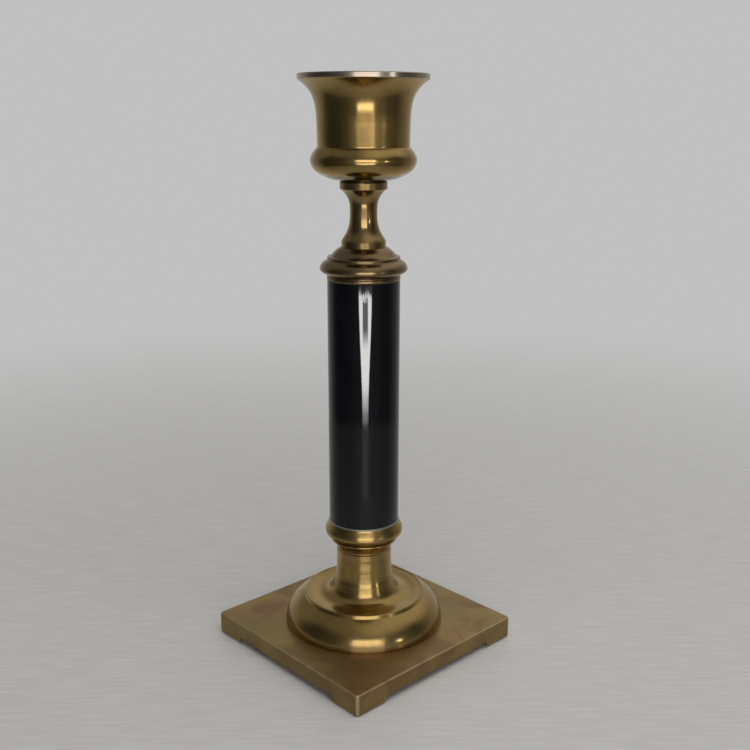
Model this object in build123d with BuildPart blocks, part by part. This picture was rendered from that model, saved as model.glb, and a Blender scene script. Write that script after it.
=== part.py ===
from build123d import *
import os

# Altar candlestick: a stack of turned brass parts and one black enamelled tube on a
# square plate, pulled together by a steel rod, with a candle cup that unscrews.
#
# Units are millimetres. The origin is under the middle of the plate, on the surface
# that the feet stand on. +Z points up the axis, and the plate's sides run along X
# and Y. Outlines are drawn as (radius, height) on the XZ plane.

os.makedirs("parts", exist_ok=True)

# ---------------------------------------------------------------- driving dimensions

PLATE_SIDE = 88.0
FOOT_HEIGHT = 3.0           # gap under the plate, between its feet
FOOT_LENGTH = 14.5          # along each side, measured from the corner
PLATE_TOP = 9.0
PLATE_WEB = 2.6             # thickness of the plate over its hollow underside
PLATE_SKIRT = 4.0           # thickness of the rim round the hollow
PLATE_CORNER = 1.6
PLATE_TOP_EDGE = 0.5
FOOT_EDGE = 1.3

# Heights where one piece ends and the next begins, from the floor up.
PEDESTAL_TOP = 41.4
LOWER_COLLAR_TOP = 53.5
TUBE_BOTTOM = 54.3
TUBE_TOP = 153.7
UPPER_COLLAR_TOP = 166.4
STEM_TOP = 191.2
CUP_BOTTOM = 191.7
CUP_TOP = 230.5

TUBE_RADIUS = 14.3
TUBE_WALL = 1.2
CUP_BORE_RADIUS = 16.1      # takes a 1-1/4 inch candle with room to spare
CUP_FLOOR = 196.8
CUP_BORE_TOP = 217.5        # the mouth flares out above this height
RIM_RADIUS = 24.85

# Fits and clearances, all radial.
SPIGOT_GAP = 0.05
THREAD_GAP = 0.05           # threads are plain cylinders with this running gap
CLEAR_HOLE_GAP = 0.30

# M6 hardware.
THREAD_RADIUS = 3.0
NUT_ACROSS_FLATS = 10.0
NUT_HEIGHT = 3.2
LOCK_WASHER_RADIUS = 5.9
LOCK_WASHER_HEIGHT = 1.3
LOCK_WASHER_SPLIT = 0.9
BASE_WASHER_RADIUS = 12.0
BASE_WASHER_HEIGHT = 1.2
THREAD_HOLE_RADIUS = THREAD_RADIUS + THREAD_GAP
CLEAR_HOLE_RADIUS = THREAD_RADIUS + CLEAR_HOLE_GAP

# Spigots that keep the stacked pieces on one axis.
PEDESTAL_SPIGOT = (8.0, 2.2)      # radius and length, down into the plate
LOWER_SPIGOT = (6.0, 3.0)         # lower collar, down into the pedestal
TUBE_SPIGOT_LENGTH = 4.0          # each collar, into its end of the tube
STEM_SPIGOT = (5.0, 2.4)          # stem, down into the upper collar
TUBE_BORE_RADIUS = TUBE_RADIUS - TUBE_WALL
TUBE_SPIGOT_RADIUS = TUBE_BORE_RADIUS - SPIGOT_GAP
WEB_BOTTOM = PLATE_TOP - PLATE_WEB


# ------------------------------------------------------------------------ base plate
# A square casting, hollow underneath, on four bracket feet. The S-shaped inner end of
# each foot is a rounded foot running into a cove under the plate.

half_gap = PLATE_SIDE / 2 - FOOT_LENGTH
cove = FOOT_HEIGHT / 2

with BuildPart() as base_plate:
    with BuildSketch():
        RectangleRounded(PLATE_SIDE, PLATE_SIDE, PLATE_CORNER)
    extrude(amount=PLATE_TOP)
    fillet(base_plate.faces().sort_by(Axis.Z)[-1].edges(), PLATE_TOP_EDGE)
    fillet(base_plate.faces().sort_by(Axis.Z)[0].edges(), FOOT_EDGE)

    # The gaps between the feet, cut through both ways.
    for side_plane in (Plane.XZ, Plane.YZ):
        with BuildSketch(side_plane):
            with BuildLine():
                Line((-half_gap - cove, 0), (half_gap + cove, 0))
                RadiusArc((half_gap + cove, 0), (half_gap, cove), cove)
                RadiusArc((half_gap, cove), (half_gap - cove, FOOT_HEIGHT), -cove)
                Line((half_gap - cove, FOOT_HEIGHT), (-half_gap + cove, FOOT_HEIGHT))
                RadiusArc((-half_gap + cove, FOOT_HEIGHT), (-half_gap, cove), -cove)
                RadiusArc((-half_gap, cove), (-half_gap - cove, 0), cove)
            make_face()
        extrude(amount=PLATE_SIDE, both=True, mode=Mode.SUBTRACT)

    # The hollow underside, and the hole for the pedestal's spigot.
    hollow_side = PLATE_SIDE - 2 * PLATE_SKIRT
    with BuildSketch():
        RectangleRounded(hollow_side, hollow_side, PLATE_CORNER)
    extrude(amount=WEB_BOTTOM, mode=Mode.SUBTRACT)
    with BuildSketch(Plane.XY.offset(WEB_BOTTOM)):
        Circle(PEDESTAL_SPIGOT[0] + SPIGOT_GAP)
    extrude(amount=PLATE_WEB, mode=Mode.SUBTRACT)

base_plate.part.label = "base_plate"
export_step(base_plate.part, "parts/base_plate.step")


# ------------------------------------------------------------------------ domed foot
# One turned casting: a round-shouldered dome, a raised ridge round its dished top,
# and the pedestal's neck growing out of the dish.

DOME_RADIUS = 33.0
DOME_LAND_TOP = PLATE_TOP + 1.2
DOME_SHOULDER_CURVE = 12.3
RIDGE_FOOT = (25.1, PLATE_TOP + 11.2)
RIDGE_FACE_TOP = (24.7, PLATE_TOP + 12.45)
RIDGE_CREST = (24.4, PLATE_TOP + 12.7)
DISH_EDGE = (23.9, PLATE_TOP + 12.45)
DISH_FLOOR = (18.5, PLATE_TOP + 12.05)
DISH_RISE = [(15.2, PLATE_TOP + 12.9), (13.6, PLATE_TOP + 14.8)]
NECK_ROOT = (12.4, PLATE_TOP + 18.5)
NECK_WAIST = (11.5, PLATE_TOP + 25.0)
NECK_TOP_RADIUS = 11.35
NECK_STRAIGHT_FROM = PLATE_TOP + 29.0
NECK_TOP_EDGE = 0.35
HOLLOW_ROOF = PLATE_TOP + 8.0
HOLLOW_INNER, HOLLOW_OUTER, HOLLOW_SHOULDER = 10.0, 29.5, 24.0

with BuildPart() as domed_foot:
    with BuildSketch(Plane.XZ):
        with BuildLine():
            spigot_radius, spigot_length = PEDESTAL_SPIGOT
            underside = Polyline(
                (CLEAR_HOLE_RADIUS, PEDESTAL_TOP),
                (CLEAR_HOLE_RADIUS, PLATE_TOP - spigot_length),
                (spigot_radius, PLATE_TOP - spigot_length),
                (spigot_radius, PLATE_TOP),
                (DOME_RADIUS, PLATE_TOP),
                (DOME_RADIUS, DOME_LAND_TOP),
            )
            shoulder = RadiusArc(underside @ 1, RIDGE_FOOT, -DOME_SHOULDER_CURVE)
            ridge_face = Line(RIDGE_FOOT, RIDGE_FACE_TOP)
            ridge = ThreePointArc(RIDGE_FACE_TOP, RIDGE_CREST, DISH_EDGE)
            dish = Spline(
                DISH_EDGE,
                DISH_FLOOR,
                *DISH_RISE,
                NECK_ROOT,
                NECK_WAIST,
                tangents=[(-1, 0.0), (0, 1)],
            )
            neck = Polyline(
                dish @ 1,
                (NECK_TOP_RADIUS, NECK_STRAIGHT_FROM),
                (NECK_TOP_RADIUS, PEDESTAL_TOP - NECK_TOP_EDGE),
                (NECK_TOP_RADIUS - NECK_TOP_EDGE, PEDESTAL_TOP),
                (CLEAR_HOLE_RADIUS, PEDESTAL_TOP),
            )
        make_face()
    revolve(axis=Axis.Z)

    # Cored out from below, like the casting it is.
    with BuildSketch(Plane.XZ):
        with BuildLine():
            Polyline(
                (HOLLOW_INNER, PLATE_TOP),
                (HOLLOW_OUTER, PLATE_TOP),
                (HOLLOW_SHOULDER, HOLLOW_ROOF),
                (HOLLOW_INNER, HOLLOW_ROOF),
                close=True,
            )
        make_face()
    revolve(axis=Axis.Z, mode=Mode.SUBTRACT)

    # The socket that takes the lower collar's spigot.
    with BuildSketch(Plane.XY.offset(PEDESTAL_TOP - LOWER_SPIGOT[1])):
        Circle(LOWER_SPIGOT[0] + SPIGOT_GAP)
    extrude(amount=LOWER_SPIGOT[1], mode=Mode.SUBTRACT)

domed_foot.part.label = "domed_foot"
export_step(domed_foot.part, "parts/domed_foot.step")


# ---------------------------------------------------------------------- lower collar
# A fine groove, a cove that flares up to a thin ring, and a fat bead under the tube.

COLLAR_GROOVE_RADIUS = 10.9
COLLAR_GROOVE_HEIGHT = 0.5
COVE_FOOT = (11.5, PEDESTAL_TOP + 0.8)
COVE_BEND = (11.8, PLATE_TOP + 34.2)
COVE_TOP = (12.9, PLATE_TOP + 36.1)
THIN_RING_RADIUS = 13.8
THIN_RING_TOP = (13.1, PLATE_TOP + 37.3)
LOWER_BEAD_ROOT = (12.8, PLATE_TOP + 37.7)
LOWER_BEAD_EQUATOR = (16.0, PLATE_TOP + 40.3)
LOWER_BEAD_TOP = (14.6, LOWER_COLLAR_TOP - 0.5)
LOWER_LIP_RADIUS = 14.4

with BuildPart() as lower_collar:
    with BuildSketch(Plane.XZ):
        with BuildLine():
            spigot_radius, spigot_length = LOWER_SPIGOT
            spigot_foot = PEDESTAL_TOP - spigot_length
            foot = Polyline(
                (CLEAR_HOLE_RADIUS, spigot_foot),
                (spigot_radius, spigot_foot),
                (spigot_radius, PEDESTAL_TOP),
                (COLLAR_GROOVE_RADIUS, PEDESTAL_TOP),
                (COLLAR_GROOVE_RADIUS, PEDESTAL_TOP + COLLAR_GROOVE_HEIGHT),
                COVE_FOOT,
            )
            cove_side = ThreePointArc(foot @ 1, COVE_BEND, COVE_TOP)
            ring_middle = (THIN_RING_RADIUS, (COVE_TOP[1] + THIN_RING_TOP[1]) / 2)
            ring = ThreePointArc(cove_side @ 1, ring_middle, THIN_RING_TOP)
            root = Line(ring @ 1, LOWER_BEAD_ROOT)
            bead = Spline(
                LOWER_BEAD_ROOT,
                LOWER_BEAD_EQUATOR,
                LOWER_BEAD_TOP,
                tangents=[(1, 0.05), (-0.5, 1)],
            )
            Polyline(
                bead @ 1,
                (LOWER_LIP_RADIUS, LOWER_COLLAR_TOP),
                (TUBE_SPIGOT_RADIUS, LOWER_COLLAR_TOP),
                (TUBE_SPIGOT_RADIUS, TUBE_BOTTOM + TUBE_SPIGOT_LENGTH),
                (CLEAR_HOLE_RADIUS, TUBE_BOTTOM + TUBE_SPIGOT_LENGTH),
                (CLEAR_HOLE_RADIUS, spigot_foot),
            )
        make_face()
    revolve(axis=Axis.Z)

lower_collar.part.label = "lower_collar"
export_step(lower_collar.part, "parts/lower_collar.step")


# ------------------------------------------------------------------------- seat ring
# A thin ring between the lower collar and the tube, a hair wider than the tube.

SEAT_RING_RADIUS = TUBE_RADIUS + 0.2
SEAT_RING_EDGE = 0.2

with BuildPart() as seat_ring:
    with BuildSketch(Plane.XY.offset(LOWER_COLLAR_TOP)):
        Circle(SEAT_RING_RADIUS)
        Circle(TUBE_BORE_RADIUS, mode=Mode.SUBTRACT)
    extrude(amount=TUBE_BOTTOM - LOWER_COLLAR_TOP)
    outer_edges = seat_ring.edges().filter_by(GeomType.CIRCLE).sort_by(SortBy.RADIUS)[-2:]
    fillet(outer_edges, SEAT_RING_EDGE)

seat_ring.part.label = "seat_ring"
export_step(seat_ring.part, "parts/seat_ring.step")


# ----------------------------------------------------------------------- column tube

TUBE_EDGE = 0.25

with BuildPart() as column_tube:
    with BuildSketch(Plane.XY.offset(TUBE_BOTTOM)):
        Circle(TUBE_RADIUS)
        Circle(TUBE_BORE_RADIUS, mode=Mode.SUBTRACT)
    extrude(amount=TUBE_TOP - TUBE_BOTTOM)
    outer_edges = column_tube.edges().filter_by(GeomType.CIRCLE).sort_by(SortBy.RADIUS)[-2:]
    fillet(outer_edges, TUBE_EDGE)

column_tube.part.label = "column_tube"
export_step(column_tube.part, "parts/column_tube.step")


# ---------------------------------------------------------------------- upper collar
# A rounded band on the tube, a wide bead, an upright step, and a shallow cone that
# closes in on the stem.

UPPER_BAND_RADIUS = 14.45
UPPER_BAND_TOP = TUBE_TOP + 1.6
UPPER_BAND_EDGE = 0.35
UPPER_GROOVE = (14.1, UPPER_BAND_TOP + 0.3)
UPPER_BEAD_EQUATOR = (17.1, PLATE_TOP + 149.5)
UPPER_BEAD_SHOULDER = (16.0, PLATE_TOP + 151.4)
UPPER_BEAD_TOP = (14.35, PLATE_TOP + 152.45)
UPPER_STEP_RADIUS = 14.2
UPPER_STEP_FOOT = UPPER_BEAD_TOP[1] + 0.15
UPPER_STEP_TOP = PLATE_TOP + 153.8
UPPER_STEP_EDGE = 0.4
CONE_FOOT = (13.1, UPPER_STEP_TOP + 0.1)
CONE_BEND = (11.0, PLATE_TOP + 156.0)
CONE_TOP = (9.1, UPPER_COLLAR_TOP - 0.1)
CONE_LIP_RADIUS = 8.9

with BuildPart() as upper_collar:
    with BuildSketch(Plane.XZ):
        with BuildLine():
            start = (CLEAR_HOLE_RADIUS, TUBE_TOP - TUBE_SPIGOT_LENGTH)
            spigot = Polyline(
                start,
                (TUBE_SPIGOT_RADIUS, TUBE_TOP - TUBE_SPIGOT_LENGTH),
                (TUBE_SPIGOT_RADIUS, TUBE_TOP),
                (UPPER_BAND_RADIUS - UPPER_BAND_EDGE, TUBE_TOP),
            )
            band = ThreePointArc(
                spigot @ 1,
                (UPPER_BAND_RADIUS, (TUBE_TOP + UPPER_BAND_TOP) / 2),
                (UPPER_BAND_RADIUS - UPPER_BAND_EDGE, UPPER_BAND_TOP),
            )
            groove = Line(band @ 1, UPPER_GROOVE)
            bead = Spline(
                UPPER_GROOVE,
                UPPER_BEAD_EQUATOR,
                UPPER_BEAD_SHOULDER,
                UPPER_BEAD_TOP,
                tangents=[(1, 0.45), (-1, 0.7)],
            )
            step = Polyline(
                bead @ 1,
                (UPPER_STEP_RADIUS, UPPER_STEP_FOOT),
                (UPPER_STEP_RADIUS, UPPER_STEP_TOP - UPPER_STEP_EDGE),
            )
            step_edge = RadiusArc(
                step @ 1,
                (UPPER_STEP_RADIUS - UPPER_STEP_EDGE, UPPER_STEP_TOP),
                -UPPER_STEP_EDGE,
            )
            cone_start = Line(step_edge @ 1, CONE_FOOT)
            cone = Spline(CONE_FOOT, CONE_BEND, CONE_TOP, tangents=[(-1, 0.6), (-1, 0.7)])
            Polyline(
                cone @ 1,
                (CONE_LIP_RADIUS, UPPER_COLLAR_TOP),
                (CLEAR_HOLE_RADIUS, UPPER_COLLAR_TOP),
                start,
            )
        make_face()
    revolve(axis=Axis.Z)
    with BuildSketch(Plane.XY.offset(UPPER_COLLAR_TOP - STEM_SPIGOT[1])):
        Circle(STEM_SPIGOT[0] + SPIGOT_GAP)
    extrude(amount=STEM_SPIGOT[1], mode=Mode.SUBTRACT)

upper_collar.part.label = "upper_collar"
export_step(upper_collar.part, "parts/upper_collar.step")


# ------------------------------------------------------------------------- neck stem
# A waisted stem on a short drum, with a disc on top. It is tapped from below for the
# tie rod and from above for the cup's stud.

DRUM_RADIUS = 8.65
DRUM_TOP = UPPER_COLLAR_TOP + 2.3
SWEEP_BELOW_WAIST = [(7.2, PLATE_TOP + 162.0), (5.9, PLATE_TOP + 165.0)]
WAIST = (5.3, PLATE_TOP + 170.5)
SWEEP_ABOVE_WAIST = [(5.75, PLATE_TOP + 175.0), (7.5, PLATE_TOP + 178.0)]
DISC_RADIUS = 9.2
DISC_BOTTOM = PLATE_TOP + 179.3
DISC_EDGE = 0.35
ROD_TOP = PLATE_TOP + 165.5
STUD_HOLE_DEPTH = 10.0

with BuildPart() as neck_stem:
    with BuildSketch(Plane.XZ):
        with BuildLine():
            spigot_radius, spigot_length = STEM_SPIGOT
            spigot_foot = UPPER_COLLAR_TOP - spigot_length
            drum = Polyline(
                (0, STEM_TOP),
                (0, spigot_foot),
                (spigot_radius, spigot_foot),
                (spigot_radius, UPPER_COLLAR_TOP),
                (DRUM_RADIUS, UPPER_COLLAR_TOP),
                (DRUM_RADIUS, DRUM_TOP),
            )
            lower_sweep = Spline(
                drum @ 1,
                *SWEEP_BELOW_WAIST,
                WAIST,
                tangents=[(-0.45, 1), (0, 1)],
            )
            upper_sweep = Spline(
                WAIST,
                *SWEEP_ABOVE_WAIST,
                (DISC_RADIUS - DISC_EDGE, DISC_BOTTOM),
                tangents=[(0, 1), (1, 0.75)],
            )
            disc_foot = RadiusArc(
                upper_sweep @ 1, (DISC_RADIUS, DISC_BOTTOM + DISC_EDGE), -DISC_EDGE
            )
            disc_side = Line(disc_foot @ 1, (DISC_RADIUS, STEM_TOP - DISC_EDGE))
            disc_head = RadiusArc(
                disc_side @ 1, (DISC_RADIUS - DISC_EDGE, STEM_TOP), -DISC_EDGE
            )
            Line(disc_head @ 1, (0, STEM_TOP))
        make_face()
    revolve(axis=Axis.Z)
    with BuildSketch(Plane.XY.offset(spigot_foot)):
        Circle(THREAD_HOLE_RADIUS)
    extrude(amount=ROD_TOP - spigot_foot, mode=Mode.SUBTRACT)
    with BuildSketch(Plane.XY.offset(STEM_TOP - STUD_HOLE_DEPTH)):
        Circle(THREAD_HOLE_RADIUS)
    extrude(amount=STUD_HOLE_DEPTH, mode=Mode.SUBTRACT)

neck_stem.part.label = "neck_stem"
export_step(neck_stem.part, "parts/neck_stem.step")


# ------------------------------------------------- tie rod, washers and nut underneath

washer_bottom = WEB_BOTTOM - BASE_WASHER_HEIGHT
lock_bottom = washer_bottom - LOCK_WASHER_HEIGHT
nut_bottom = lock_bottom - NUT_HEIGHT
ROD_CHAMFER = 0.5
NUT_CORNER_CUT = 0.35

with BuildPart() as tie_rod:
    with BuildSketch(Plane.XY.offset(nut_bottom)):
        Circle(THREAD_RADIUS)
    extrude(amount=ROD_TOP - nut_bottom)
    chamfer(tie_rod.edges().filter_by(GeomType.CIRCLE), ROD_CHAMFER)

tie_rod.part.label = "tie_rod"
export_step(tie_rod.part, "parts/tie_rod.step")

with BuildPart() as base_washer:
    with BuildSketch(Plane.XY.offset(washer_bottom)):
        Circle(BASE_WASHER_RADIUS)
        Circle(CLEAR_HOLE_RADIUS, mode=Mode.SUBTRACT)
    extrude(amount=BASE_WASHER_HEIGHT)

base_washer.part.label = "base_washer"
export_step(base_washer.part, "parts/base_washer.step")

with BuildPart() as lock_washer:
    with BuildSketch(Plane.XY.offset(lock_bottom)):
        Circle(LOCK_WASHER_RADIUS)
        Circle(CLEAR_HOLE_RADIUS, mode=Mode.SUBTRACT)
        with Locations((LOCK_WASHER_RADIUS, 0)):
            Rectangle(2 * LOCK_WASHER_RADIUS, LOCK_WASHER_SPLIT, mode=Mode.SUBTRACT)
    extrude(amount=LOCK_WASHER_HEIGHT)

lock_washer.part.label = "lock_washer"
export_step(lock_washer.part, "parts/lock_washer.step")

with BuildPart() as base_nut:
    with BuildSketch(Plane.XY.offset(nut_bottom)):
        RegularPolygon(NUT_ACROSS_FLATS / 2, side_count=6, major_radius=False)
        Circle(THREAD_HOLE_RADIUS, mode=Mode.SUBTRACT)
    extrude(amount=NUT_HEIGHT)
    hexagon_edges = base_nut.edges().filter_by(GeomType.LINE).filter_by(Plane.XY)
    chamfer(hexagon_edges, NUT_CORNER_CUT)

base_nut.part.label = "base_nut"
export_step(base_nut.part, "parts/base_nut.step")


# ------------------------------------------------------------- cup washer and cup stud

CUP_WASHER_RADIUS = 7.6
STUD_REACH = 9.0            # how far the stud hangs below the cup
STUD_HEAD_RADIUS = 5.0
STUD_HEAD_HEIGHT = 1.6
STUD_SLOT_WIDTH = 1.2
STUD_SLOT_DEPTH = 0.8

with BuildPart() as cup_washer:
    with BuildSketch(Plane.XY.offset(STEM_TOP)):
        Circle(CUP_WASHER_RADIUS)
        Circle(CLEAR_HOLE_RADIUS, mode=Mode.SUBTRACT)
    extrude(amount=CUP_BOTTOM - STEM_TOP)

cup_washer.part.label = "cup_washer"
export_step(cup_washer.part, "parts/cup_washer.step")

with BuildPart() as cup_stud:
    with BuildSketch(Plane.XY.offset(CUP_BOTTOM - STUD_REACH)):
        Circle(THREAD_RADIUS)
    extrude(amount=STUD_REACH + CUP_FLOOR - CUP_BOTTOM)
    chamfer(cup_stud.edges().filter_by(GeomType.CIRCLE).sort_by(Axis.Z)[0], ROD_CHAMFER)
    with BuildSketch(Plane.XY.offset(CUP_FLOOR - STUD_HEAD_HEIGHT)):
        Circle(STUD_HEAD_RADIUS)
    extrude(amount=STUD_HEAD_HEIGHT)
    with BuildSketch(Plane.XY.offset(CUP_FLOOR - STUD_SLOT_DEPTH)):
        Rectangle(2 * STUD_HEAD_RADIUS, STUD_SLOT_WIDTH)
    extrude(amount=STUD_SLOT_DEPTH, mode=Mode.SUBTRACT)

cup_stud.part.label = "cup_stud"
export_step(cup_stud.part, "parts/cup_stud.step")


# ------------------------------------------------------------------------ candle cup
# An urn: a rounded underside, a bead round its foot, a straight wall, and a mouth that
# flares to a square-edged rim. The socket inside is straight, then opens to the rim.

CUP_SEAT_RADIUS = 9.4
CUP_UNDERSIDE = [
    (12.3, PLATE_TOP + 183.15),
    (15.5, PLATE_TOP + 184.4),
    (18.75, PLATE_TOP + 186.5),
]
CUP_BEAD_EQUATOR = (20.3, PLATE_TOP + 189.8)
CUP_BEAD_TOP = (18.3, PLATE_TOP + 194.4)
CUP_WALL_FOOT = (17.6, PLATE_TOP + 195.4)
CUP_WALL_TOP = (17.75, PLATE_TOP + 204.0)
CUP_FLARE = [
    (18.5, PLATE_TOP + 211.0),
    (20.2, PLATE_TOP + 215.25),
    (22.4, PLATE_TOP + 217.7),
]
RIM_UNDERSIDE = CUP_TOP - 2.2
RIM_LIP_RADIUS = 24.5
RIM_EDGE = 0.3
MOUTH_RADIUS = 23.2
MOUTH_CURVE = [(19.9, PLATE_TOP + 217.0), (17.3, PLATE_TOP + 213.0)]

with BuildPart() as candle_cup:
    with BuildSketch(Plane.XZ):
        with BuildLine():
            floor = Polyline(
                (0, CUP_FLOOR), (0, CUP_BOTTOM), (CUP_SEAT_RADIUS, CUP_BOTTOM)
            )
            bowl = Spline(
                floor @ 1,
                *CUP_UNDERSIDE,
                CUP_BEAD_EQUATOR,
                CUP_BEAD_TOP,
                tangents=[(1, 0.05), (-0.75, 1)],
            )
            bead_groove = Spline(CUP_BEAD_TOP, CUP_WALL_FOOT, tangents=[(-1, 0.5), (0, 1)])
            wall = Line(CUP_WALL_FOOT, CUP_WALL_TOP)
            flare = Spline(
                CUP_WALL_TOP,
                *CUP_FLARE,
                (RIM_LIP_RADIUS, RIM_UNDERSIDE),
                tangents=[(0.02, 1), (1, 0.65)],
            )
            rim = Polyline(
                flare @ 1,
                (RIM_RADIUS, RIM_UNDERSIDE + RIM_EDGE),
                (RIM_RADIUS, CUP_TOP - RIM_EDGE),
                (RIM_RADIUS - RIM_EDGE, CUP_TOP),
                (MOUTH_RADIUS + RIM_EDGE, CUP_TOP),
            )
            mouth = Spline(
                rim @ 1,
                *MOUTH_CURVE,
                (CUP_BORE_RADIUS, CUP_BORE_TOP),
                tangents=[(-1, -0.6), (0, -1)],
            )
            Polyline(mouth @ 1, (CUP_BORE_RADIUS, CUP_FLOOR), (0, CUP_FLOOR))
        make_face()
    revolve(axis=Axis.Z)
    # The stud's hole through the floor, and the recess that its head is fixed in.
    with BuildSketch(Plane.XY.offset(CUP_BOTTOM)):
        Circle(THREAD_HOLE_RADIUS)
    extrude(amount=CUP_FLOOR - CUP_BOTTOM, mode=Mode.SUBTRACT)
    with BuildSketch(Plane.XY.offset(CUP_FLOOR - STUD_HEAD_HEIGHT)):
        Circle(STUD_HEAD_RADIUS + SPIGOT_GAP)
    extrude(amount=STUD_HEAD_HEIGHT, mode=Mode.SUBTRACT)

candle_cup.part.label = "candle_cup"
export_step(candle_cup.part, "parts/candle_cup.step")
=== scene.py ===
import math

import bmesh
import bpy
from mathutils import Matrix, Vector


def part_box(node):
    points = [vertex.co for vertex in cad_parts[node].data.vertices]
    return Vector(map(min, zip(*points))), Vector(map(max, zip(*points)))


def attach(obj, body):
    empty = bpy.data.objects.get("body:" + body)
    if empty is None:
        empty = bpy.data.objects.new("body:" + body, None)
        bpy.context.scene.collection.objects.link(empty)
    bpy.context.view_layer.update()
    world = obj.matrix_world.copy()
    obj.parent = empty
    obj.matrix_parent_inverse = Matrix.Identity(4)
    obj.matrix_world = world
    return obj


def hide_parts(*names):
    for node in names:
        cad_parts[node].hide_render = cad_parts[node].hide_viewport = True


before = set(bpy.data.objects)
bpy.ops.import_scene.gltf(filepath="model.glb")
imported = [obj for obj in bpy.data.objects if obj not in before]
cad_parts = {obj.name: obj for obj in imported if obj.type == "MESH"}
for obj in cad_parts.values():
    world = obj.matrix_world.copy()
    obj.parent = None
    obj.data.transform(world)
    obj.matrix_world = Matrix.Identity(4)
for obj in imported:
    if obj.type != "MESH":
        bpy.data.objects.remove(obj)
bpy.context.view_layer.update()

MM = 0.001

# ------------------------------------------------------------------ sizes from the frame


def far_corner(node):
    """The largest x, y and z of a node."""
    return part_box(node)[1]


PLATE_HALF = far_corner("base_plate").x
PLATE_TOP = far_corner("base_plate").z
DOME_RADIUS = far_corner("domed_foot").x
CUP_TOP = far_corner("candle_cup").z

# ------------------------------------------------------------- where the camera stands

CAMERA_AZIMUTH = math.radians(47.35)
CAMERA_DISTANCE = 0.3845
CAMERA_HEIGHT = 0.2164
CAMERA_PITCH = math.radians(14.78)
CAMERA_YAW = math.radians(0.67)
CAMERA_ROLL = math.radians(0.11)
CAMERA_LENS = 47.67
CAMERA_SENSOR = 36.0
CAMERA_NEAREST = 0.01


def toward(azimuth):
    """The level direction from the object at this angle, in radians. 0 is along -Y."""
    return Vector((math.sin(azimuth), -math.cos(azimuth), 0.0))


# ------------------------------------------------------------------- node-tree helper


class NodeTree:
    """Builds a shader tree one node at a time. An input may be a value or a socket."""

    def __init__(self, tree):
        self.tree = tree
        self.tree.nodes.clear()

    def add(self, kind, inputs=None, **settings):
        node = self.tree.nodes.new(kind)
        for name, value in settings.items():
            setattr(node, name, value)
        for name, value in (inputs or {}).items():
            self.feed(node.inputs[name], value)
        return node

    def feed(self, socket, value):
        if isinstance(value, bpy.types.NodeSocket):
            self.tree.links.new(value, socket)
        else:
            socket.default_value = value

    def math(self, operation, first, second=0.0):
        node = self.add("ShaderNodeMath", {0: first, 1: second}, operation=operation)
        return node.outputs[0]

    def plus(self, first, second):
        return self.math("ADD", first, second)

    def minus(self, first, second):
        return self.math("SUBTRACT", first, second)

    def times(self, first, second):
        return self.math("MULTIPLY", first, second)

    def smooth(self, value, low, high, start=0.0, end=1.0):
        """Goes smoothly from start to end as value goes from low to high."""
        inputs = {0: value, 1: low, 2: high, 3: start, 4: end}
        node = self.add("ShaderNodeMapRange", inputs, interpolation_type="SMOOTHSTEP")
        return node.outputs[0]

    def noise(self, vector, scale, detail=3.0, rough=0.55, distortion=0.0):
        inputs = {
            "Vector": vector,
            "Scale": scale,
            "Detail": detail,
            "Roughness": rough,
            "Distortion": distortion,
        }
        return self.add("ShaderNodeTexNoise", inputs).outputs[0]

    def mix(self, share, first, second):
        """Two colours mixed. A mix node has its colours at inputs 6 and 7, and output 2."""
        inputs = {0: share, 6: first, 7: second}
        return self.add("ShaderNodeMix", inputs, data_type="RGBA").outputs[2]

    def ramp(self, value, stops):
        """A colour ramp through (place, colour) stops."""
        node = self.add("ShaderNodeValToRGB", {0: value})
        elements = node.color_ramp.elements
        while len(elements) < len(stops):
            elements.new(0.5)
        for element, (place, colour) in zip(elements, stops):
            element.position = place
            element.color = colour
        return node.outputs[0]

    def bump(self, height, strength, distance):
        inputs = {"Strength": strength, "Distance": distance, "Height": height}
        return self.add("ShaderNodeBump", inputs).outputs[0]

    def point(self):
        """Where the shaded point is on its piece."""
        return self.add("ShaderNodeTexCoord").outputs["Object"]

    def split(self, vector):
        """The x, y and z of a vector."""
        return self.add("ShaderNodeSeparateXYZ", {0: vector}).outputs

    def radius(self, x, y):
        """The distance from the axis."""
        return self.math("SQRT", self.plus(self.times(x, x), self.times(y, y)))

    def seen_by_camera(self):
        """1 where the camera sees the point directly, 0 in reflections and for light."""
        return self.add("ShaderNodeLightPath").outputs["Is Camera Ray"]


def new_material(name):
    material = bpy.data.materials.new(name)
    material.use_nodes = True
    return material, NodeTree(material.node_tree)


def finish_material(tree, shader):
    tree.add("ShaderNodeOutputMaterial", {"Surface": shader.outputs[0]})


def rgb(red, green, blue):
    return (red, green, blue, 1.0)


# ------------------------------------------------------------------------------ brass

GOLD = rgb(0.48, 0.32, 0.115)
OLIVE = rgb(0.39, 0.28, 0.10)
BROWN = rgb(0.34, 0.20, 0.095)
# A dark brown for soot, pits and the cast underside, and for the painted shade in the grooves.
GRIME_AND_SHADE_BROWN = rgb(0.08, 0.055, 0.03)
WORN = rgb(0.72, 0.57, 0.32)
TARNISH = rgb(0.27, 0.19, 0.11)
# Painted sheen: the paler grey of the cup's rim.
RIM_SHEEN_GREY = rgb(0.50, 0.43, 0.37)
BLACK = rgb(0, 0, 0)

GROOVE_REACH = 1.0 * MM     # how near two walls are where the grooves darken with grime and painted shade
GROOVE_GRIME_AND_SHADE = 0.5
GROOVE_ROUGHNESS = 0.25     # added in the darkened grooves
EDGE_REACH = 0.5 * MM
EDGE_WEAR = 0.4

RING_WANDER = 0.0006        # how far a lathe ring's noise drifts in one turn, in metres
RING_SLOPE = 0.73           # keeps the rings apart on a flat face as well
FINE_RING_SCALE = 2400.0
WIDE_RING_SCALE = 620.0
FINE_RING_SHARE = 0.3       # how much the fine rings count for beside the wide ones
FINE_RING_DEPTH = 0.010 * MM
FINE_RING_STRETCH = 0.2     # how far they draw a highlight out
COARSE_RING_DEPTH = 0.13 * MM
COARSE_RING_STRETCH = 0.6
QUARTER_TURN = 0.25

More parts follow.
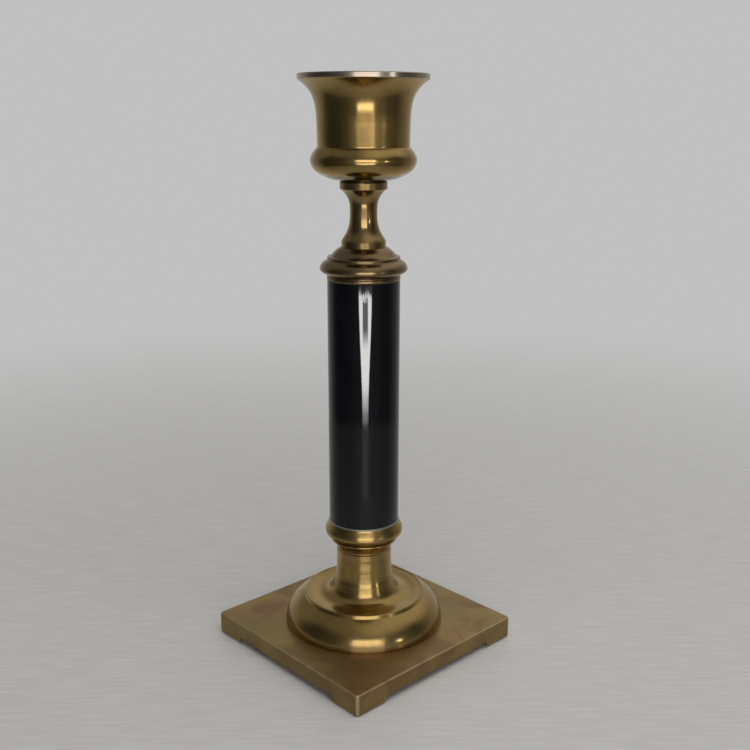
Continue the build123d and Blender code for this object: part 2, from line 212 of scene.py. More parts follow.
BORE_SOOT = 0.6
BORE_BLEND = 0.4 * MM
RIM_SHEEN_SHARE = 0.85
RIM_BLEND = 0.3 * MM
RIM_ROUGHNESS = 0.06        # added just under the rim
RIM_ROUGHNESS_FROM = 12 * MM
RIM_ROUGHNESS_TO = 2 * MM


def patina(tree, point, scale):
    """Slow drifts between gold, olive and brown, with a finer mottle over them."""
    drift = tree.noise(point, scale, detail=2.0, distortion=0.6)
    tint = tree.noise(point, scale * 1.7, detail=3.0, distortion=0.3)
    mottle = tree.noise(point, scale * 6.0, detail=5.0, rough=0.65)
    colour = tree.mix(tree.smooth(drift, 0.35, 0.65), GOLD, OLIVE)
    colour = tree.mix(tree.smooth(tint, 0.48, 0.75, end=0.6), colour, BROWN)
    return tree.mix(tree.smooth(mottle, 0.45, 0.8, end=0.35), colour, BROWN), mottle


def crevices(tree, reach, low, high):
    """1 deep in a groove, 0 on open metal."""
    open_share = tree.add("ShaderNodeAmbientOcclusion", {"Distance": reach}, samples=4)
    return tree.smooth(open_share.outputs["AO"], low, high, 1.0, 0.0)


def sharp_edges(tree, reach, low, high):
    """1 on an outside edge, 0 on flat metal."""
    inputs = {"Distance": reach}
    solid_share = tree.add("ShaderNodeAmbientOcclusion", inputs, samples=4, inside=True)
    return tree.smooth(solid_share.outputs["AO"], low, high)


def ring_pattern(tree, x, y, z, radius):
    """Noise drawn out into rings round the axis: the marks of the lathe tool."""
    inputs = {
        0: tree.times(tree.math("DIVIDE", x, radius), RING_WANDER),
        1: tree.times(tree.math("DIVIDE", y, radius), RING_WANDER),
        2: tree.plus(z, tree.times(radius, RING_SLOPE)),
    }
    rings_at = tree.add("ShaderNodeCombineXYZ", inputs).outputs[0]
    fine = tree.noise(rings_at, FINE_RING_SCALE, detail=3.0)
    wide = tree.noise(rings_at, WIDE_RING_SCALE, detail=2.0)
    return tree.plus(tree.times(fine, FINE_RING_SHARE), wide)


def age_and_shade_brass(tree, colour, mottle, grime_and_shade):
    """Darkens the grooves with grime and painted shade, and brightens the outside edges."""
    colour = tree.mix(tree.times(grime_and_shade, GROOVE_GRIME_AND_SHADE), colour, GRIME_AND_SHADE_BROWN)
    edges = sharp_edges(tree, EDGE_REACH, 0.55, 0.35)
    wear = tree.times(edges, tree.smooth(mottle, 0.3, 0.5))
    return tree.mix(tree.times(wear, EDGE_WEAR), colour, WORN)


def dim_in_mirrors(tree, colour, mirrored):
    """Leaves the colour its mirrored share of brightness where other brass reflects it."""
    seen = tree.seen_by_camera()
    return tree.mix(tree.smooth(seen, 0.0, 1.0, 1.0 - mirrored, 0.0), colour, BLACK)


def turned_brass(
    name, patina_scale, roughness, browned=0.0, mirrored=0.6, neck=None, bore=None, rim=None
):
    """Brass off the lathe. Its rings draw highlights out along the axis.

    browned is how far the colour goes to tarnish, and mirrored how bright it is when
    seen in other brass. neck is the (low, high) height over which the tool marks grow
    coarse, bore the radius of a sooty inside, and rim where a paler grey band of
    painted sheen starts.
    """
    material, tree = new_material(name)
    point = tree.point()
    x, y, z = tree.split(point)
    radius = tree.radius(x, y)
    colour, mottle = patina(tree, point, patina_scale)
    colour = tree.mix(browned, colour, TARNISH)
    grime_and_shade = crevices(tree, GROOVE_REACH, 0.35, 0.75)
    colour = age_and_shade_brass(tree, colour, mottle, grime_and_shade)
    rough = tree.smooth(mottle, 0.3, 0.8, roughness - 0.03, roughness + 0.08)
    if bore is not None:
        soot = tree.smooth(radius, bore, bore + BORE_BLEND, BORE_SOOT, 0.0)
        colour = tree.mix(soot, colour, GRIME_AND_SHADE_BROWN)
    if rim is not None:
        # Painted sheen: the rim is paler and greyer than the brass below it.
        colour = tree.mix(tree.smooth(z, rim, rim + RIM_BLEND, end=RIM_SHEEN_SHARE), colour, RIM_SHEEN_GREY)
        rough = tree.plus(rough, tree.smooth(
            z, rim - RIM_ROUGHNESS_FROM, rim - RIM_ROUGHNESS_TO, end=RIM_ROUGHNESS
        ))
    rough = tree.plus(rough, tree.times(grime_and_shade, GROOVE_ROUGHNESS))
    coarse = 0.0 if neck is None else tree.smooth(z, *neck)
    ring_depth = tree.plus(tree.times(coarse, COARSE_RING_DEPTH), FINE_RING_DEPTH)
    rings = ring_pattern(tree, x, y, z, radius)
    tangent = tree.add("ShaderNodeTangent", direction_type="RADIAL", axis="Z").outputs[0]
    finish_material(tree, tree.add("ShaderNodeBsdfPrincipled", {
        "Base Color": dim_in_mirrors(tree, colour, mirrored),
        "Metallic": 1.0,
        "Roughness": rough,
        "Anisotropic": tree.plus(tree.times(coarse, COARSE_RING_STRETCH), FINE_RING_STRETCH),
        "Anisotropic Rotation": QUARTER_TURN,
        "Tangent": tangent,
        "Normal": tree.bump(rings, strength=1.0, distance=ring_depth),
    }))
    return material


# The plate's own brass. Depths are measured down from its top or in from its sides.
PLATE_PATINA_SCALE = 24.0
PLATE_BLOTCH = 0.8          # how brown the blotches are
PLATE_DULLING = 0.2
PLATE_METALLIC = 0.8
PLATE_EDGE_WEAR = 0.7
PLATE_PIT_GRIME = 0.6
DOME_STAIN_AND_SHADE_REACH = 3.0 * MM      # how far the brown ring round the dome's foot spreads: stain, and painted shade at the joint
DOME_STAIN_AND_SHADE_SHARE = 0.15
HOLLOW_DEPTH = (2.4 * MM, 2.6 * MM)
HOLLOW_INSET = (3.5 * MM, 4.1 * MM)
HOLLOW_DULLING = 0.8
HOLLOW_ROUGHNESS = 0.3      # added in the hollow
CAST_SKIN_HEIGHT = 20.0     # how much rougher the hollow's cast skin is than the brushing


def plate_edge_wear(tree, point, z, side, corner):
    """1 along the plate's top edge and down its corners, in patches."""
    edge = tree.smooth(side, PLATE_HALF - 0.8 * MM, PLATE_HALF - 0.4 * MM)
    near_top = tree.smooth(z, PLATE_TOP - 0.6 * MM, PLATE_TOP - 0.25 * MM)
    down_corner = tree.smooth(corner, PLATE_HALF - 1.5 * MM, PLATE_HALF - 0.7 * MM)
    wear = tree.math("MAXIMUM", tree.times(edge, near_top), down_corner)
    patches = tree.noise(point, 180.0, detail=4.0)
    return tree.times(wear, tree.smooth(patches, 0.25, 0.6, 0.3, 1.0))


def plate_hollow(tree, z, side):
    """1 in the plate's hollow underside, 0 outside it."""
    shallow, deep = HOLLOW_DEPTH
    outer, inner = HOLLOW_INSET
    below = tree.smooth(z, PLATE_TOP - shallow, PLATE_TOP - deep)
    return tree.times(below, tree.smooth(side, PLATE_HALF - outer, PLATE_HALF - inner))


def plate_brass(name):
    """The cast plate: a brushed and stained top with painted shade round the dome's foot, worn
    edges and a rough hollow underneath.
    """
    material, tree = new_material(name)
    point = tree.point()
    x, y, z = tree.split(point)
    from_middle_x = tree.math("ABSOLUTE", x)
    from_middle_y = tree.math("ABSOLUTE", y)
    side = tree.math("MAXIMUM", from_middle_x, from_middle_y)
    corner = tree.math("MINIMUM", from_middle_x, from_middle_y)
    hollow = plate_hollow(tree, z, side)
    cast_skin = tree.noise(point, 420.0, detail=5.0, rough=0.7)
    blotch = tree.noise(point, 55.0, detail=5.0, rough=0.6, distortion=0.8)
    pits = tree.smooth(tree.noise(point, 900.0, detail=2.0), 0.70, 0.78)

    colour, _ = patina(tree, point, PLATE_PATINA_SCALE)
    colour = tree.mix(tree.smooth(blotch, 0.48, 0.62, end=PLATE_BLOTCH), colour, BROWN)
    # A brown ring round the dome's foot: stain, and painted shade where the dome stands on the
    # plate.
    darkening = tree.smooth(
        tree.radius(x, y), DOME_RADIUS, DOME_RADIUS + DOME_STAIN_AND_SHADE_REACH, DOME_STAIN_AND_SHADE_SHARE, 0.0
    )
    colour = tree.mix(darkening, colour, BROWN)
    colour = tree.mix(tree.times(pits, PLATE_PIT_GRIME), colour, GRIME_AND_SHADE_BROWN)
    wear = plate_edge_wear(tree, point, z, side, corner)
    colour = tree.mix(tree.times(wear, PLATE_EDGE_WEAR), colour, WORN)
    dull_cast = tree.mix(tree.smooth(cast_skin, 0.35, 0.65), BROWN, GRIME_AND_SHADE_BROWN)
    colour = tree.mix(tree.times(hollow, HOLLOW_DULLING), colour, dull_cast)

    stroke_inputs = {"Vector": point, "Rotation": (0, 0, 0.5), "Scale": (1, 22, 4)}
    strokes = tree.add("ShaderNodeMapping", stroke_inputs).outputs[0]
    brushing = tree.noise(strokes, 160.0, detail=4.0, rough=0.7)
    height = tree.minus(tree.times(brushing, 0.6), pits)
    height = tree.plus(height, tree.times(tree.times(cast_skin, hollow), CAST_SKIN_HEIGHT))
    rough = tree.smooth(blotch, 0.3, 0.7, 0.28, 0.40)
    finish_material(tree, tree.add("ShaderNodeBsdfPrincipled", {
        "Base Color": tree.mix(PLATE_DULLING, colour, BLACK),
        "Metallic": PLATE_METALLIC,
        "Roughness": tree.plus(rough, tree.times(hollow, HOLLOW_ROUGHNESS)),
        "Normal": tree.bump(height, strength=0.45, distance=0.010 * MM),
    }))
    return material


# --------------------------------------------------------------- enamel, ring and steel

ENAMEL_BLACK = rgb(0.0015, 0.0015, 0.003)
ENAMEL_BLUE_BLACK = rgb(0.0025, 0.0025, 0.0045)
ENAMEL_DUST = rgb(0.25, 0.25, 0.22)
ENAMEL_IOR = 1.5
METAL_GRIME_AND_SHADE = rgb(0.05, 0.045, 0.04)


def black_enamel(name):
    """Gloss black, with the faint waviness of a sprayed coat and a few pale specks."""
    material, tree = new_material(name)
    point = tree.point()
    ripple = tree.noise(point, 90.0, detail=2.0)
    peel = tree.noise(point, 520.0, detail=2.0)
    dust = tree.noise(point, 1500.0, detail=2.0)
    colour = tree.mix(tree.smooth(ripple, 0.3, 0.7), ENAMEL_BLACK, ENAMEL_BLUE_BLACK)
    colour = tree.mix(tree.smooth(dust, 0.76, 0.80, end=0.5), colour, ENAMEL_DUST)
    height = tree.plus(tree.times(peel, 0.15), ripple)
    finish_material(tree, tree.add("ShaderNodeBsdfPrincipled", {
        "Base Color": colour,
        "Roughness": tree.smooth(peel, 0.3, 0.8, 0.02, 0.05),
        "IOR": ENAMEL_IOR,
        "Normal": tree.bump(height, strength=0.5, distance=0.02 * MM),
    }))
    return material


def dull_metal(name, colour, darkening, roughness, grain_scale):
    """Plain metal hardware: a stained, slightly grainy surface, darker in its crevices with grime
    and painted shade.
    """
    material, tree = new_material(name)
    point = tree.point()
    cloud = tree.noise(point, grain_scale * 0.25, detail=4.0)
    grain = tree.noise(point, grain_scale, detail=4.0, rough=0.7)
    tint = tree.mix(tree.smooth(cloud, 0.4, 0.75, end=0.7), colour, darkening)
    # The crevices darken: grime, with painted shade.
    grime_and_shade = crevices(tree, 0.8 * MM, 0.4, 0.8)
    tint = tree.mix(tree.times(grime_and_shade, 0.6), tint, METAL_GRIME_AND_SHADE)
    finish_material(tree, tree.add("ShaderNodeBsdfPrincipled", {
        "Base Color": tint,
        "Metallic": 1.0,
        "Roughness": tree.smooth(grain, 0.3, 0.8, roughness - 0.06, roughness + 0.1),
        "Normal": tree.bump(grain, strength=0.4, distance=0.02 * MM),
    }))
    return material


# ------------------------------------------------------------- which piece wears what

NECK_SPAN = (PLATE_TOP + 13 * MM, PLATE_TOP + 17 * MM)
CUP_BORE = 16.1 * MM
CUP_RIM = CUP_TOP - 2.1 * MM


def dress(node, material):
    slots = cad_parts[node].data.materials
    slots.clear()
    slots.append(material)


dress("lower_collar", turned_brass("collar_brass_aged", patina_scale=34.0, roughness=0.24))
dress("upper_collar", turned_brass(
    "collar_brass_browned", patina_scale=34.0, roughness=0.24, browned=0.85
))
dress("neck_stem", turned_brass(
    "stem_brass_browned", patina_scale=34.0, roughness=0.17, browned=0.4
))
dress("domed_foot", turned_brass(
    "foot_brass_aged", patina_scale=30.0, roughness=0.21, mirrored=0.95, neck=NECK_SPAN
))
dress("candle_cup", turned_brass(
    "cup_brass_aged", patina_scale=30.0, roughness=0.16, bore=CUP_BORE, rim=CUP_RIM
))
dress("base_plate", plate_brass("plate_brass_aged"))
dress("column_tube", black_enamel("black_enamel_gloss"))

pale_ring = dull_metal(
    "pale_ring_metal", rgb(0.45, 0.47, 0.42), darkening=rgb(0.25, 0.28, 0.22),
    roughness=0.35, grain_scale=700.0,
)
dark_brass = dull_metal(
    "washer_brass_dark", rgb(0.28, 0.20, 0.09), darkening=rgb(0.10, 0.07, 0.04),
    roughness=0.45, grain_scale=900.0,
)
zinc = dull_metal(
    "zinc_plate", rgb(0.55, 0.55, 0.54), darkening=rgb(0.30, 0.29, 0.26),
    roughness=0.38, grain_scale=800.0,
)
spring_steel = dull_metal(
    "spring_steel_dark", rgb(0.20, 0.20, 0.20), darkening=rgb(0.12, 0.09, 0.07),
    roughness=0.40, grain_scale=900.0,
)
dress("seat_ring", pale_ring)
dress("cup_washer", dark_brass)
for steel_node in ("tie_rod", "base_washer", "base_nut"):
    dress(steel_node, zinc)
dress("lock_washer", spring_steel)


# ------------------------------------------------------------------- the cup's stud
# The stud with its real thread and slotted head, which shows when the cup is raised.

THREAD_CREST = 3.0 * MM     # radius
THREAD_PITCH = 1.0 * MM
THREAD_DEPTH = 0.5 * MM
ROWS_PER_TURN = 8
STUD_SEGMENTS = 64
SLOT_HALF_WIDTH = 0.6 * MM
SLOT_DEPTH = 0.8 * MM
HEAD_HEIGHT = 1.6 * MM
TIP_TAPER = 1.2 * MM


def stud_angles(slot_angle):
    """Even steps round the stud, with a step on each side of both ends of the slot."""
    step = 2 * math.pi / STUD_SEGMENTS
    angles = [number * step for number in range(STUD_SEGMENTS)]
    corners = [slot_angle, math.pi - slot_angle, math.pi + slot_angle, 2 * math.pi - slot_angle]
    too_near = 0.4 * step
    kept = [a for a in angles if all(abs(a - corner) > too_near for corner in corners)]
    return sorted(kept + corners)


def thread_radius(z, angle, low, high):
    """The radius of a V thread: it winds up the shank and runs out at both ends."""
    phase = ((z - low) / THREAD_PITCH - angle / (2 * math.pi)) % 1.0
    cut = THREAD_DEPTH * (1 - abs(2 * phase - 1))
    run_out = min(1.0, (high - z) / THREAD_PITCH)
    tip = THREAD_DEPTH * max(0.0, 1 - (z - low) / TIP_TAPER)
    return THREAD_CREST - max(cut * run_out, tip)


def ring_of(bm, angles, z, radius_at):
    return [
        bm.verts.new((radius_at(a) * math.cos(a), radius_at(a) * math.sin(a), z)) for a in angles
    ]


def join_rings(bm, lower, upper, sectors=None):
    """Quads from one ring up to the next, all round or over the numbered sectors."""
    count = len(lower)
    for i in sectors or range(count):
        j = (i + 1) % count
        bm.faces.new((lower[i], lower[j], upper[j], upper[i]))


def build_shank(bm, angles, low, high):
    """The threaded shank, closed at its tip. Returns its top ring."""
    rows = int((high - low) / THREAD_PITCH * ROWS_PER_TURN)
    rings = []
    for row in range(rows + 1):
        z = low + (high - low) * row / rows
        rings.append(ring_of(bm, angles, z, lambda a, z=z: thread_radius(z, a, low, high)))
    for lower, upper in zip(rings, rings[1:]):
        join_rings(bm, lower, upper)
    bm.faces.new(reversed(rings[0]))
    return rings[-1]


def build_head(bm, angles, shank_top, radius, low, high, slot_angle):
    """The head: a disc with a screwdriver slot across it."""
    under, middle, top = (
        ring_of(bm, angles, z, lambda a: radius) for z in (low, high - SLOT_DEPTH, high)
    )
    join_rings(bm, shank_top, under)
    join_rings(bm, under, middle)
    half_turns = [
        (angles.index(slot_angle), angles.index(math.pi - slot_angle)),
        (angles.index(math.pi + slot_angle), angles.index(2 * math.pi - slot_angle)),
    ]
    for first, last in half_turns:
        join_rings(bm, middle, top, range(first, last))
        bm.faces.new(top[first:last + 1])
        bm.faces.new((middle[last], middle[first], top[first], top[last]))
    (first_start, first_end), (second_start, second_end) = half_turns
    slot_ring = middle[second_end:] + middle[:first_start + 1] + middle[first_end:second_start + 1]
    bm.faces.new(slot_ring)


def make_cup_stud():
    low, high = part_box("cup_stud")
    head_radius = high.x
    head_low = high.z - HEAD_HEIGHT
    slot_angle = math.asin(SLOT_HALF_WIDTH / head_radius)
    angles = stud_angles(slot_angle)
    bm = bmesh.new()
    shank_top = build_shank(bm, angles, low.z, head_low)
    build_head(bm, angles, shank_top, head_radius, head_low, high.z, slot_angle)
    loose = [v for v in bm.verts if not v.link_faces]
    bmesh.ops.delete(bm, geom=loose, context="VERTS")
    bmesh.ops.recalc_face_normals(bm, faces=bm.faces)

    mesh = bpy.data.meshes.new("stud_threaded")
    bm.to_mesh(mesh)
    bm.free()
    stud = bpy.data.objects.new("stud_threaded", mesh)
    bpy.context.scene.collection.objects.link(stud)
    mesh.materials.append(zinc)
    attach(stud, "cup")
    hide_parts("cup_stud")


make_cup_stud()


# ------------------------------------------------------------------------- the floor

FLOOR_REACH = 3.0
FLOOR_SEGMENTS = 96
FLOOR_GAP = 0.05 * MM       # keeps the floor just clear of the feet
FLOOR_DARK = rgb(0.54, 0.535, 0.52)
FLOOR_PALE = rgb(0.60, 0.595, 0.585)
FLOOR_ROUGHNESS = 0.42
CAMERA_FADE = (0.12, 0.70)  # the radii over which the camera sees the floor fade out
MIRROR_FADE = (0.12, 0.24)  # the radii over which its reflection is held back further
NEAR_FADE = 0.40            # how much of the reflection is held back at the base
FAR_FADE = 0.65             # and further out
SHELF_EDGE = (0.26, 0.34)   # the radii over which its reflection comes to an end


def floor_fade(tree):
    """How clear the floor is: 0 is solid paint and 1 is not there.

    The camera sees it fade into the backdrop; reflections see it end. From underneath
    it is clear, so that the underside can be looked at.
    """
    x, y, _ = tree.split(tree.point())
    radius = tree.radius(x, y)
    near = tree.smooth(radius, *MIRROR_FADE, NEAR_FADE, FAR_FADE)
    for_mirrors = tree.math("MAXIMUM", near, tree.smooth(radius, *SHELF_EDGE))
    for_camera = tree.smooth(radius, *CAMERA_FADE)
    inputs = {0: tree.seen_by_camera(), 2: for_mirrors, 3: for_camera}
    fade = tree.add("ShaderNodeMix", inputs).outputs[0]
    underneath = tree.add("ShaderNodeNewGeometry").outputs["Backfacing"]
    return tree.math("MAXIMUM", fade, underneath)


def floor_paint():
    material, tree = new_material("floor_paint")
    stroke_inputs = {
        "Vector": tree.point(),
        "Rotation": (0, 0, CAMERA_AZIMUTH),
        "Scale": (0.25, 0.02, 1),
    }
    strokes = tree.add("ShaderNodeMapping", stroke_inputs, vector_type="TEXTURE")
    grain = tree.noise(strokes.outputs[0], 14.0, detail=4.0)
    paint = tree.add("ShaderNodeBsdfPrincipled", {
        "Base Color": tree.mix(tree.smooth(grain, 0.35, 0.7), FLOOR_DARK, FLOOR_PALE),
        "Roughness": FLOOR_ROUGHNESS,
        "Normal": tree.bump(grain, strength=0.2, distance=0.1 * MM),
    })
    clear = tree.add("ShaderNodeBsdfTransparent")
    inputs = {0: floor_fade(tree), 1: paint.outputs[0], 2: clear.outputs[0]}
    finish_material(tree, tree.add("ShaderNodeMixShader", inputs))
    return material


def make_floor():
    mesh = bpy.data.meshes.new("floor")
    bm = bmesh.new()
    bmesh.ops.create_circle(bm, cap_ends=True, segments=FLOOR_SEGMENTS, radius=FLOOR_REACH)
    bm.to_mesh(mesh)
    bm.free()
    mesh.materials.append(floor_paint())
    floor = bpy.data.objects.new("floor", mesh)
    floor.location.z = -FLOOR_GAP
    bpy.context.scene.collection.objects.link(floor)


# -------------------------------------------------------------------------- the room

# How bright the room is round the object, as (degrees from the camera, brightness).
# Minus is to the left of the camera. The windows cover the middle.
ROOM = [
    (-180, 0.56),
    (-145, 0.42),
    (-120, 0.27),
    (-104, 0.10),
    (-90, 0.05),
    (-62, 0.055),
    (-40, 0.11),
    (-24, 0.26),
    (24, 0.38),
    (44, 0.30),
    (60, 0.15),
    (85, 0.09),
    (104, 0.17),
    (125, 0.27),
    (150, 0.42),
    (180, 0.56),
]
CEILING_LEFT = rgb(0.20, 0.195, 0.185)
CEILING_RIGHT = rgb(0.56, 0.55, 0.52)
BACKDROP = rgb(0.53, 0.53, 0.53)
WALL_SHADE = rgb(0.05, 0.05, 0.055)
WALL_BLUE = 0.97            # as a share of the walls' red and green

# How far a direction of length 1 points up, to the front or to the right. A pair is the
# span over which something changes smoothly.
IN_FRONT_SPAN = (-0.3, 0.1)
TO_LEFT_SPAN = (0.1, -0.2)
CEILING_LEFT_TO_RIGHT = (-0.3, 0.3)
LOW_SHADE_SPAN = (-0.04, -0.16)
LOW_SHADE = 0.6             # how dark the walls in front go, below and above
HIGH_SHADE_SPAN = (0.0, 0.15)
HIGH_SHADE = 0.5
CEILING_FROM = 0.32
CEILING_RAISED_IN_FRONT = 0.15
CEILING_LOWERED_BEHIND_LEFT = 0.22
CEILING_BLEND = 0.40


def room_walls(tree, aside, facing):
    """The ramp of brightness round the object."""
    angle = tree.math("ARCTAN2", aside, facing)
    share = tree.plus(tree.math("DIVIDE", angle, 2 * math.pi), 0.5)
    stops = [
        (0.5 + degrees / 360, rgb(level, level, level * WALL_BLUE)) for degrees, level in ROOM
    ]
    return tree.ramp(share, stops)


def make_world():
    """A room seen only in reflections: pale behind the object, dark at its sides."""
    world = bpy.data.worlds.new("studio")
    world.use_nodes = True
    bpy.context.scene.world = world
    tree = NodeTree(world.node_tree)
    x, y, z = tree.split(tree.add("ShaderNodeTexCoord").outputs["Generated"])
    front = toward(CAMERA_AZIMUTH)
    right = toward(CAMERA_AZIMUTH + math.pi / 2)
    facing = tree.plus(tree.times(x, front.x), tree.times(y, front.y))
    aside = tree.plus(tree.times(x, right.x), tree.times(y, right.y))
    in_front = tree.smooth(facing, *IN_FRONT_SPAN)

    walls = room_walls(tree, aside, facing)
    for span, shade in ((LOW_SHADE_SPAN, LOW_SHADE), (HIGH_SHADE_SPAN, HIGH_SHADE)):
        shaded = tree.times(tree.smooth(z, *span), in_front)
        walls = tree.mix(tree.times(shaded, shade), walls, WALL_SHADE)

    ceiling = tree.mix(tree.smooth(aside, *CEILING_LEFT_TO_RIGHT), CEILING_LEFT, CEILING_RIGHT)
    behind_left = tree.times(tree.minus(1.0, in_front), tree.smooth(aside, *TO_LEFT_SPAN))
    ceiling_from = tree.plus(tree.times(in_front, CEILING_RAISED_IN_FRONT), CEILING_FROM)
    lowered = tree.times(behind_left, CEILING_LOWERED_BEHIND_LEFT)
    height_above = tree.minus(z, tree.minus(ceiling_from, lowered))
    room = tree.mix(tree.smooth(height_above, 0.0, CEILING_BLEND), walls, ceiling)
    colour = tree.mix(tree.seen_by_camera(), room, BACKDROP)
    background = tree.add("ShaderNodeBackground", {"Color": colour})
    tree.add("ShaderNodeOutputWorld", {"Surface": background.outputs[0]})


# ----------------------------------------------------------------------- the windows
# In metres, from the middle of the panel: panes, with a brighter band below them that
# the highlights come from. The enamel reflects so little that it has a window of its
# own, whose band is brighter, tapers downward and has a dull slit down its middle. A
# pair is the span over which something changes smoothly.

WINDOW_DISTANCE = 2.05
WINDOW_TURN = math.radians(5)     # to the right of the camera
WINDOW_HALF_WIDTH = 0.81
WINDOW_LOW = -0.75
WINDOW_HIGH = 1.05
WINDOW_SASH = (0.19, 0.29)        # above this the panes are brighter
WINDOW_BORDER = (0.96, 0.98)      # above this is a bright strip
WINDOW_COLOUR = rgb(1.0, 0.99, 0.97)
PANE_GLOW = 0.28
SIDE_PANE_GLOW = 0.60
SIDE_PANE_FROM = (0.35, 0.60)     # to the right of this is the side pane
UPPER_GLOW = 2.2
BORDER_GLOW = 5.0

RAGGED_SCALE = 6.0                # the noise that makes the band's edge uneven
RAGGED_HEIGHT = 0.03
BRASS_BAND_TOP = (-0.28, -0.25)
BRASS_BAND_SIDE = (0.64, 0.78)
BRASS_BAND_GLOW = 2.7

ENAMEL_WINDOW_GAP = 0.01          # how far the enamel's window stands in front
ENAMEL_BAND_TOP = (-0.206, -0.191)
ENAMEL_BAND_ARCH = 0.045          # bends the band's top edge down toward its sides
ENAMEL_BAND_SIDE = (0.70, 0.80)
ENAMEL_BAND_TAPER = (-0.52, -0.22)
ENAMEL_BAND_NARROWEST = 0.46
ENAMEL_BAND_END = (-0.57, -0.42)
ENAMEL_BAND_TAIL = 0.03           # what is left of the band's glow at its end
ENAMEL_BAND_GLOW = 16.4
ENAMEL_SLIT_SIDE = (0.26, 0.36)
ENAMEL_SLIT_TOP = (-0.215, -0.205)
ENAMEL_SLIT_END = (-0.34, -0.28)
ENAMEL_SLIT_GLOW = 2.3


def make_panel(name, distance):
    """An upright panel behind the camera. Reflections see it, and no camera does."""
    mesh = bpy.data.meshes.new(name)
    half = WINDOW_HALF_WIDTH
    corners = [
        (-half, 0, WINDOW_LOW),
        (half, 0, WINDOW_LOW),
        (half, 0, WINDOW_HIGH),
        (-half, 0, WINDOW_HIGH),
    ]
    mesh.from_pydata(corners, [], [(0, 1, 2, 3)])
    panel = bpy.data.objects.new(name, mesh)
    bpy.context.scene.collection.objects.link(panel)
    panel.location = toward(CAMERA_AZIMUTH + WINDOW_TURN) * distance
    panel.rotation_euler = (0, 0, CAMERA_AZIMUTH + WINDOW_TURN)
    panel.visible_camera = False
    return panel


def panes(tree, x, z, above_band):
    """The glow of the panes, which start where above_band is 1."""
    pane = tree.smooth(x, *SIDE_PANE_FROM, PANE_GLOW, SIDE_PANE_GLOW)
    upper = tree.smooth(z, *WINDOW_SASH, end=UPPER_GLOW - PANE_GLOW)
    border = tree.smooth(z, *WINDOW_BORDER, end=BORDER_GLOW - UPPER_GLOW)
    return tree.times(above_band, tree.plus(pane, tree.plus(upper, border)))


def glaze(panel, material, tree, strength, enamel_state):
    """Gives the panel its glow, and says whether the enamel is the one piece that has it."""
    glow = tree.add("ShaderNodeEmission", {"Color": WINDOW_COLOUR, "Strength": strength})
    clear = tree.add("ShaderNodeBsdfTransparent")
    inputs = {0: glow.outputs[0], 1: clear.outputs[0]}
    finish_material(tree, tree.add("ShaderNodeAddShader", inputs))
    panel.data.materials.append(material)
    enamelled = bpy.data.collections.new(panel.name + "_enamel")
    enamelled.objects.link(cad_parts["column_tube"])
    enamelled.collection_objects[0].light_linking.link_state = enamel_state
    panel.light_linking.receiver_collection = enamelled


def ragged_edge(tree, point):
    return tree.times(tree.noise(point, RAGGED_SCALE), RAGGED_HEIGHT)


def make_brass_window():
    panel = make_panel("brass_window", WINDOW_DISTANCE)
    material, tree = new_material("brass_window_glow")
    point = tree.point()
    x, _, z = tree.split(point)
    edge = tree.plus(z, ragged_edge(tree, point))
    above = tree.smooth(edge, *BRASS_BAND_TOP)
    in_band = tree.smooth(tree.math("ABSOLUTE", x), *BRASS_BAND_SIDE, 1.0, 0.0)
    band = tree.times(tree.times(in_band, tree.minus(1.0, above)), BRASS_BAND_GLOW)
    strength = tree.plus(band, panes(tree, x, z, above))
    glaze(panel, material, tree, strength, "EXCLUDE")


def enamel_slit(tree, across, edge):
    """1 in the dull slit down the middle of the enamel's band, 0 outside it."""
    between = tree.smooth(across, *ENAMEL_SLIT_SIDE, 1.0, 0.0)
    below = tree.smooth(edge, *ENAMEL_SLIT_TOP, 1.0, 0.0)
    return tree.times(between, tree.times(below, tree.smooth(edge, *ENAMEL_SLIT_END)))


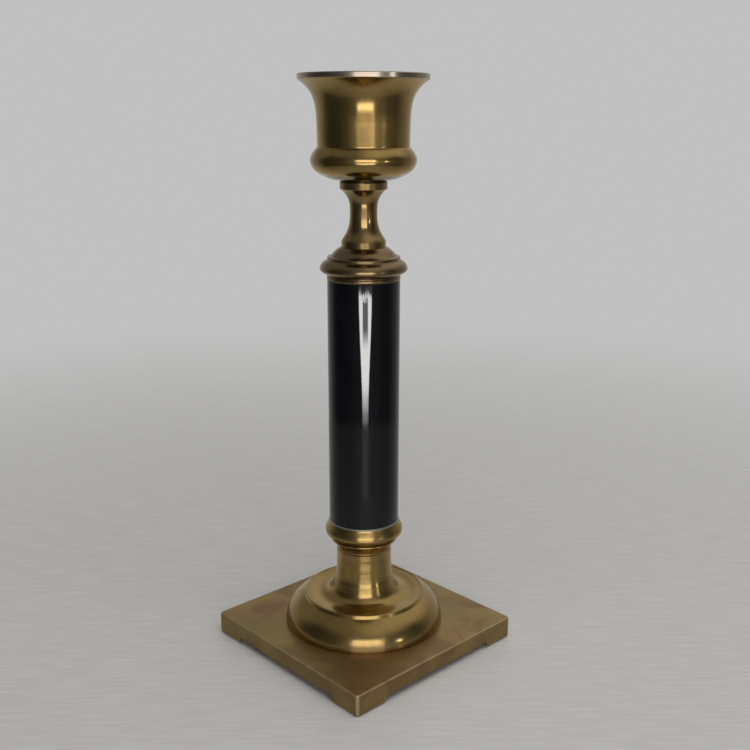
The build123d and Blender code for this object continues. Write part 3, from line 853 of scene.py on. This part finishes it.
def make_enamel_window():
    panel = make_panel("enamel_window", WINDOW_DISTANCE - ENAMEL_WINDOW_GAP)
    material, tree = new_material("enamel_window_glow")
    point = tree.point()
    x, _, z = tree.split(point)
    across = tree.math("ABSOLUTE", x)
    ragged = ragged_edge(tree, point)
    arched = tree.times(tree.times(x, x), ENAMEL_BAND_ARCH)
    edge = tree.plus(z, tree.plus(ragged, arched))
    above = tree.smooth(edge, *ENAMEL_BAND_TOP)
    narrowing = tree.smooth(z, *ENAMEL_BAND_TAPER, ENAMEL_BAND_NARROWEST, 1.0)
    narrowed = tree.math("DIVIDE", across, narrowing)
    in_band = tree.smooth(narrowed, *ENAMEL_BAND_SIDE, 1.0, 0.0)
    fade = tree.smooth(z, *ENAMEL_BAND_END, ENAMEL_BAND_TAIL, 1.0)
    band = tree.times(tree.times(in_band, fade), tree.minus(1.0, above))
    slit = enamel_slit(tree, tree.plus(across, ragged), edge)
    dimmed = tree.times(slit, ENAMEL_BAND_GLOW - ENAMEL_SLIT_GLOW)
    band = tree.times(band, tree.minus(ENAMEL_BAND_GLOW, dimmed))
    strength = tree.plus(band, panes(tree, x, z, above))
    glaze(panel, material, tree, strength, "INCLUDE")


# --------------------------------------------------------------- the lamps and camera


def make_light(name, turn, distance, height, aim_height, width, tall, watts):
    """A lamp that points at the axis. turn is in degrees to the right of the camera."""
    data = bpy.data.lights.new(name, "AREA")
    data.shape = "RECTANGLE"
    data.size = width
    data.size_y = tall
    data.energy = watts
    light = bpy.data.objects.new(name, data)
    bpy.context.scene.collection.objects.link(light)
    light.location = toward(CAMERA_AZIMUTH + math.radians(turn)) * distance
    light.location.z = height
    aim = Vector((0, 0, aim_height)) - light.location
    light.rotation_euler = aim.to_track_quat("-Z", "Z").to_euler()
    return light


def make_lights():
    make_light(
        "lamp", turn=50, distance=2.0, height=0.36, aim_height=0.36,
        width=0.04, tall=0.06, watts=0.8,
    )
    overhead = make_light(
        "overhead", turn=20, distance=0.5, height=1.6, aim_height=0.0,
        width=1.4, tall=1.4, watts=14.0,
    )
    overhead.visible_glossy = False


def make_camera():
    data = bpy.data.cameras.new("camera")
    data.sensor_width = CAMERA_SENSOR
    data.lens = CAMERA_LENS
    data.clip_start = CAMERA_NEAREST
    camera = bpy.data.objects.new("camera", data)
    bpy.context.scene.collection.objects.link(camera)
    bpy.context.scene.camera = camera
    stand = toward(CAMERA_AZIMUTH) * CAMERA_DISTANCE
    stand.z = CAMERA_HEIGHT
    turn = Matrix.Rotation(CAMERA_AZIMUTH - CAMERA_YAW, 4, "Z")
    tilt = Matrix.Rotation(math.pi / 2 - CAMERA_PITCH, 4, "X")
    roll = Matrix.Rotation(CAMERA_ROLL, 4, "Z")
    camera.matrix_world = Matrix.Translation(stand) @ turn @ tilt @ roll


make_floor()
make_world()
make_brass_window()
make_enamel_window()
make_lights()
make_camera()
bpy.context.scene.view_settings.view_transform = "Standard"
